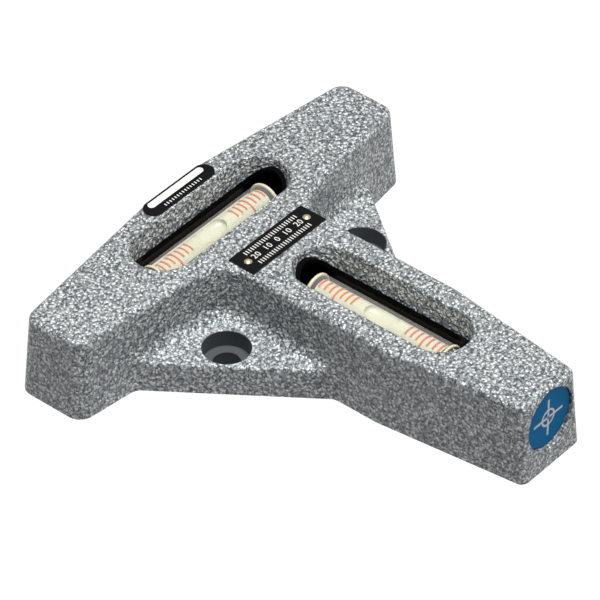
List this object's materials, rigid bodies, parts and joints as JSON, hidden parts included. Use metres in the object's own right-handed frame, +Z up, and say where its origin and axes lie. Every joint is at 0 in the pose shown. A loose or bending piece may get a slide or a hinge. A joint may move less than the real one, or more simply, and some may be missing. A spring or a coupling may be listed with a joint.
{
  "type": "cross spirit level",
  "caption": "T-shaped cast bench level with crossed glass bubble vials in open windows, low corner gussets and counterbored screw holes.",
  "frame": {"origin": "on the flat measuring face, below the crossing of the crossbar's and the stem's centre lines", "axes": "+Z up out of the measuring face, X along the crossbar, the stem runs towards -Y"},
  "size_m": [0.144, 0.1437, 0.028],
  "materials": {
    "casting": "silver hammertone paint",
    "vial_glass": "clear, with red division lines",
    "spirit": "clear pale yellow liquid",
    "plaster": "matt cream plaster",
    "black_steel": "gloss black",
    "screw_steel": "dark steel",
    "plug": "turned",
    "blue_disc": "satin blue with plain white marks",
    "black_plate": "black anodised with plain light marks",
    "brass": "plain"
  },
  "bodies": {
    "root": {"body": "casting", "bar_vial_glass": "vial_glass", "stem_vial_glass": "vial_glass", "bar_vial_spirit": "spirit", "stem_vial_spirit": "spirit", "bar_vial_bed": "plaster", "stem_vial_bed": "plaster", "bar_vial_tube": "black_steel", "stem_vial_tube": "black_steel", "bar_tube_caps": "black_steel", "stem_tube_caps": "black_steel", "bar_set_screws": "screw_steel", "stem_set_screws": "screw_steel", "bar_end_plug": "plug", "stem_end_plug": "plug", "end_disc": "blue_disc", "badge_plate": "black_plate", "data_plate": "black_plate", "plate_rivets": "brass"}
  },
  "joints": []
}
